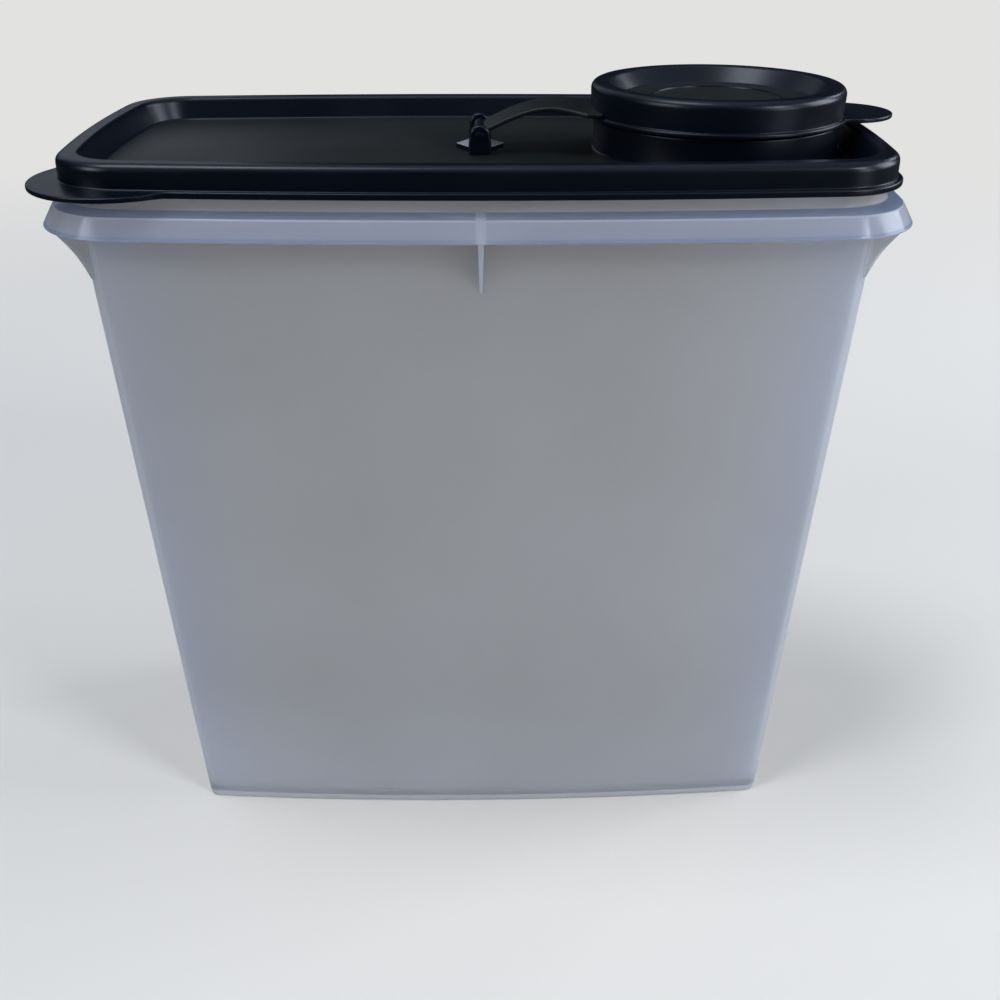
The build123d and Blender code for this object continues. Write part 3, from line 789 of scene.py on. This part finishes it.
def containerTones():
    # Each place's colour over the body's: start + (colour - start) * share, in this order; most places are painted
    # light
    k, m = keeper, milky
    reach, z = containerLine[:, :1], containerLine[:, 1:]
    onRim = containerWeight[:, None] > 0.5
    x, acrossX, acrossY = np.abs(containerPoints[..., 0]), *np.abs(np.moveaxis(containerNormals, -1, 0))
    inside = np.arange(len(reach))[:, None] > np.argmax(z[:, 0]) + 3
    tones = np.broadcast_to(linear(m["body"]), (*x.shape, 4)).copy()

    def lay(colour, share):
        nonlocal tones
        tones = tones + (np.array(linear(colour)) - tones) * np.broadcast_to(share, x.shape)[..., None]

    # Mask of the vertical corners, for their painted glow
    corner = smooth(0.36, 0.5, np.minimum(acrossX, acrossY))
    # Cooler and paler towards the ends: partly the thicker path through the curving wall, partly painted light from the
    # sides
    lay(m["cool"], (0.45 + 0.45 * acrossY) * smooth(0.62, 1.0, x / x.max(axis=1, keepdims=True)))
    # Painted light: the lower body paler, standing in for light from the floor
    lay(m["edge"], 0.7 * smooth(60.0, 6.0, z))
    # Painted glow on the vertical corners, partly the thicker path through the bend
    lay(m["edge"], 0.9 * corner)
    lay(m["edge"], smooth(3.3, 2.8, z) * ~inside)
    rootLine = smooth(0.64, 0.7, np.minimum(acrossX, acrossY)) * smooth(192.0, 197.0, z)
    lay(m["rib"], rootLine * ~inside)
    # Painted reflection: the skirt's blue grey stands in for the sky it mirrors
    lay(m["skirt"], onRim * ~inside)
    # Painted highlight along the skirt's top edge
    paintedTopHighlight = smooth(0.5, 0.3, np.abs(z - k["skirtTop"])) * (reach > k["skirtTopReach"] - 0.7)
    lay(m["edge"], onRim * paintedTopHighlight * ~inside)
    # Painted light: the skirt paler towards its ends
    lay(m["edge"], 0.7 * onRim * smooth(0.25, 0.6, acrossX) * (z < k["skirtTop"]) * ~inside)
    # Painted reflection: the hem darker and bluer where its rounding mirrors the floor
    lay(m["hem"], onRim * smooth(k["skirtBottom"] + 1.5, k["skirtBottom"] + 1.3, z) * ~inside)
    beyondNeck = reach > k["neckOuter"] + 0.3
    # Painted shade and reflection: the ledge darker and bluer, for the shade under the lid's lip and the sky it mirrors
    lay(m["ledge"], onRim * (z > k["skirtTop"] + 0.01) * beyondNeck * (reach < k["skirtTopReach"] - 0.25) * ~inside)
    # Painted light: the neck paler than the body, lifting it out of the shade under the lid
    lay(m["neck"], onRim * (reach < k["neckOuter"] + 0.3) * (z > k["ledgeHeight"] - 1.0))
    middle = smooth(2.0, 1.25, x) * (acrossY > 0.9)
    lay(m["rib"], middle * onRim * (z < k["ledgeHeight"] + 0.1) * beyondNeck * 0.9)
    polish = smooth(k["skirtBottom"] - 2.0, k["skirtBottom"] + 1.0, z) * (reach > -3.0) * np.ones_like(x)
    return tones, polish


addTone(containerShell, *containerTones())
dress(containerShell, "box", milkyPlastic)
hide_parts("container")
secondMaterial(containerShell, thickPlastic, -1.0, 2.9)  # the base's edge is thicker than the wall

for name, side in (("frontGusset", -1), ("backGusset", 1)):
    loop = gussetLoop(
        lambda z: bodySizesAt(z)[1] / 2, lambda z: skirtSizes[1] / 2 + skirtReachAt(z), gusset["sideDepth"],
    )
    web = plateObject(
        name, loop, (0, 0, 0), (0, side), gusset["sideThickness"], gusset["edgeRadius"], gusset["sideTail"],
    )
    addTone(web, [linear(milky["sideWeb"])], [milky["webPolish"]])
    dress(web, "box", thickPlastic)
for name, end, side in (
    ("frontLeftGusset", -1, -1), ("frontRightGusset", 1, -1), ("backLeftGusset", -1, 1), ("backRightGusset", 1, 1),
):
    loop = gussetLoop(cornerWallAt, cornerSkirtAt, gusset["cornerDepth"])
    outward = (end * diagonal[0], side * diagonal[1])
    origin = (end * cornerBase[0], side * cornerBase[1], 0)
    web = plateObject(name, loop, origin, outward, gusset["thickness"], gusset["edgeRadius"])
    addTone(web, [linear(milky["web"])], [milky["webPolish"]])
    dress(web, "box", webPlastic)
print("container and gussets built")

lidShell = dress(gridObject("lidShell", lidGrid(), closedRows=True), "cover", blackPlastic)
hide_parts("lid")
secondMaterial(lidShell, etchedPlastic, cover["panelTop"] - 0.02, cover["panelTop"] + 0.02)
for name, side in (("frontEar", -1), ("backEar", 1)):
    dress(earObject(name, side), "cover", blackPlastic)


def lozengePad():
    # Lozenge with rounded corners: a ring of its outline, raised and drawn in at the top edge
    h = hinge
    corners = np.array([(-1, 0), (0, -1), (1, 0), (0, 1)]) * (h["padLength"] / 2, h["padWidth"] / 2)
    seam = (corners[0] + corners[1]) / 2
    closed = np.vstack([seam, corners[1:], corners[0], seam])
    loop = roundedLine(closed, [h["padCorner"]] * 4, steps=8, hold=0.6)[:-1]
    size = np.linalg.norm(loop, axis=1, keepdims=True)
    low, top = cover["panelTop"] - 0.3, cover["panelTop"] + h["padHeight"]
    profile = roundedLine([(-0.35, low), (0, top), (2.5, top)], [h["padEdge"]])
    rings = loop * (1 - profile[:, :1, None] / size)
    return np.dstack([rings, np.broadcast_to(profile[:, 1:], rings.shape[:2])])


lozenge = gridObject("lozengePad", lozengePad(), poles=(True, True))
dress(lozenge, "cover", blackPlastic)
padTop = cover["panelTop"] + hinge["padHeight"]
# The pad's top takes the painted pale reflection
secondMaterial(lozenge, paleReflectionPlastic, padTop - 0.12, padTop + 0.1)
print("lid built")

pinLength = hinge["earSpacing"] + hinge["earThickness"] + 2 * hinge["pinProud"]
strapLine = np.vstack([strapCentre(40), [(hinge["stopX"], hinge["endZ"] - hinge["stopDrop"])]])
strapBand = bandObject(
    "strapBand", strapLine, strapWidth(strapLine[:, 0]), hinge["strapThickness"], hinge["strapEdge"],
)
dress(strapBand, "arm", etchedPlastic)
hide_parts("strap")
hingeBarrel = roundBar("hingeBarrel", hinge["strapWidth"], hinge["barrelRadius"], hinge["barrelEdge"])
dress(hingeBarrel, "arm", blackPlastic)
crossPin = roundBar("crossPin", pinLength, hinge["pinRadius"], hinge["pinEdge"])
dress(crossPin, "arm", blackPlastic)
print("strap built")

flipCap = dress(gridObject("flipCap", capGrid(), poles=(True, True)), "cap", blackPlastic)
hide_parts("flip_cap")
secondMaterial(flipCap, etchedPlastic, capSizes["discTop"] - 0.02, capSizes["discTop"] + 0.02)
rootLine = np.stack([np.linspace(hinge["rootFrom"], hinge["rootTo"], 6), np.full(6, hinge["endZ"])], 1)
rootHalves = np.full(6, hinge["strapEnd"] / 2)
capRoot = bandObject("capRoot", rootLine, rootHalves, hinge["strapThickness"], hinge["strapEdge"])
dress(capRoot, "cap", etchedPlastic)

# The living hinge is a thin web between the strap's end and the cap's root, level with their tops
webTop = hinge["endZ"] + hinge["strapThickness"] / 2 + 0.04
webLevel = np.full(12, webTop - hinge["webThickness"] / 2)
webLine = np.stack([np.linspace(hinge["webFrom"], hinge["webTo"], 12), webLevel], 1)
webHalves = np.full(12, hinge["strapEnd"] / 2 - 0.1)
livingHinge = bandObject("livingHinge", webLine, webHalves, hinge["webThickness"], hinge["webEdge"])
livingHinge.data.materials.append(etchedPlastic)
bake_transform(livingHinge)
print("flip cap built")


studio = {
    "floor": "#e2dbcd", "mirrored": "#3c3c39", "backdrop": "#e2e2e1", "fadeFrom": 0.45, "fadeTo": 1.2,
    "sky": "#cbdaf7", "horizon": 0.02, "zenith": 0.72, "brightFrom": 0.42, "brightTo": 1.0,
    "sunFrom": (-0.7, -0.1, 2.2), "sunStrength": 1.3, "sunAngle": 26.0, "lampColour": "#e3ebfb",
    # name: place, size in metres, watts
    "lamps": {
        "windowBack": ((-1.1, 1.95, 1.25), 1.5, 3.0),
        "windowBackRight": ((1.7, 1.5, 1.15), 0.4, 3.0),
        "windowSide": ((2.0, 0.25, 0.85), 1.2, 29.0),
        "windowLow": ((1.6, -1.2, 0.3), 0.7, 8.0),
        "windowRight": ((1.4, -1.2, 1.2), 0.5, 15.0),
        "windowLeft": ((-1.5, -1.0, 1.0), 0.8, 14.0),
    },
}


def stageObject(name, points, faces, colour):
    # Matte paper that keeps the shadow near the object, and fades to the plain backdrop for the camera
    mesh = bpy.data.meshes.new(name)
    mesh.from_pydata(points, [], faces)
    made = bpy.data.objects.new(name, mesh)
    bpy.context.scene.collection.objects.link(made)
    material, tree = newMaterial(name + "Paper")
    place = addNode(tree, "ShaderNodeTexCoord")
    away = addNode(tree, "ShaderNodeVectorMath", {"operation": "LENGTH"}, {0: place.outputs["Object"]})
    fade = addNode(
        tree, "ShaderNodeMapRange",
        {"interpolation_type": "SMOOTHSTEP", "From Min": studio["fadeFrom"], "From Max": studio["fadeTo"]},
        {"Value": away.outputs["Value"]},
    )
    rays = addNode(tree, "ShaderNodeLightPath")
    shown = addNode(
        tree, "ShaderNodeMath", {"operation": "MULTIPLY"}, {0: fade.outputs[0], 1: rays.outputs["Is Camera Ray"]},
    )
    # Glossy surfaces see a darker floor, so that the black stays black
    seenAs = addNode(
        tree, "ShaderNodeMix", {"data_type": "RGBA", 6: linear(colour), 7: linear(studio["mirrored"])},
        {0: rays.outputs["Is Glossy Ray"]},
    )
    matte = addNode(tree, "ShaderNodeBsdfDiffuse", None, {"Color": seenAs.outputs[2]})
    plain = addNode(tree, "ShaderNodeEmission", {"Color": linear(studio["backdrop"])})
    mixed = addNode(tree, "ShaderNodeMixShader", None, {0: shown.outputs[0], 1: matte.outputs[0], 2: plain.outputs[0]})
    addNode(tree, "ShaderNodeOutputMaterial", None, {"Surface": mixed.outputs[0]})
    mesh.materials.append(material)
    return made


stageObject("floor", [(-8, -8, 0), (8, -8, 0), (8, 8, 0), (-8, 8, 0)], [(0, 1, 2, 3)], studio["floor"])

world = bpy.data.worlds.new("studio")
bpy.context.scene.world = world
world.use_nodes = True
world.node_tree.nodes.clear()
# The studio is dim near the horizon and bright overhead
heading = addNode(world.node_tree, "ShaderNodeTexCoord")
heights = addNode(world.node_tree, "ShaderNodeSeparateXYZ", None, {0: heading.outputs["Generated"]})
glow = addNode(
    world.node_tree, "ShaderNodeMapRange",
    {
        "interpolation_type": "SMOOTHSTEP", "From Min": studio["brightFrom"], "From Max": studio["brightTo"],
        "To Min": studio["horizon"], "To Max": studio["zenith"],
    },
    {"Value": heights.outputs[2]},
)
sky = addNode(world.node_tree, "ShaderNodeBackground", {"Color": linear(studio["sky"])}, {"Strength": glow.outputs[0]})
seen = addNode(world.node_tree, "ShaderNodeBackground", {"Color": linear(studio["backdrop"])})
rays = addNode(world.node_tree, "ShaderNodeLightPath")
both = addNode(
    world.node_tree, "ShaderNodeMixShader", None,
    {0: rays.outputs["Is Camera Ray"], 1: sky.outputs[0], 2: seen.outputs[0]},
)
addNode(world.node_tree, "ShaderNodeOutputWorld", None, {"Surface": both.outputs[0]})


def addLamp(name, kind, spot, energy, settings):
    light = bpy.data.lights.new(name, kind)
    light.energy = energy
    light.color = linear(studio["lampColour"])[:3]
    for key, value in settings.items():
        setattr(light, key, value)
    lamp = bpy.data.objects.new(name, light)
    lamp.location = spot
    lamp.rotation_euler = (Vector((0, 0, 0.15)) - Vector(spot)).to_track_quat("-Z", "Y").to_euler()
    lamp.visible_camera = False
    bpy.context.scene.collection.objects.link(lamp)


addLamp("softSun", "SUN", studio["sunFrom"], studio["sunStrength"], {"angle": radians(studio["sunAngle"])})
for name, (spot, size, watts) in studio["lamps"].items():
    addLamp(name, "AREA", spot, watts, {"shape": "SQUARE", "size": size})

view = {"place": (-0.000682, -0.388043, 0.302906), "pitch": 0.484, "yaw": 0.019, "roll": 0.003, "lens": 43.2}
forward = Vector((sin(view["yaw"]) * cos(view["pitch"]), cos(view["yaw"]) * cos(view["pitch"]), -sin(view["pitch"])))
level = Vector((cos(view["yaw"]), -sin(view["yaw"]), 0))
upward = level.cross(forward)
right = level * cos(view["roll"]) + upward * sin(view["roll"])
up = upward * cos(view["roll"]) - level * sin(view["roll"])
lens = bpy.data.cameras.new("photographerCamera")
lens.lens = view["lens"]
lens.sensor_width = 36.0
lens.clip_start = 0.01
camera = bpy.data.objects.new("photographerCamera", lens)
camera.matrix_world = Matrix.Translation(Vector(view["place"])) @ Matrix((right, up, -forward)).transposed().to_4x4()
bpy.context.scene.collection.objects.link(camera)
bpy.context.scene.camera = camera
bpy.context.scene.view_settings.view_transform = "Standard"
print("stage ready")
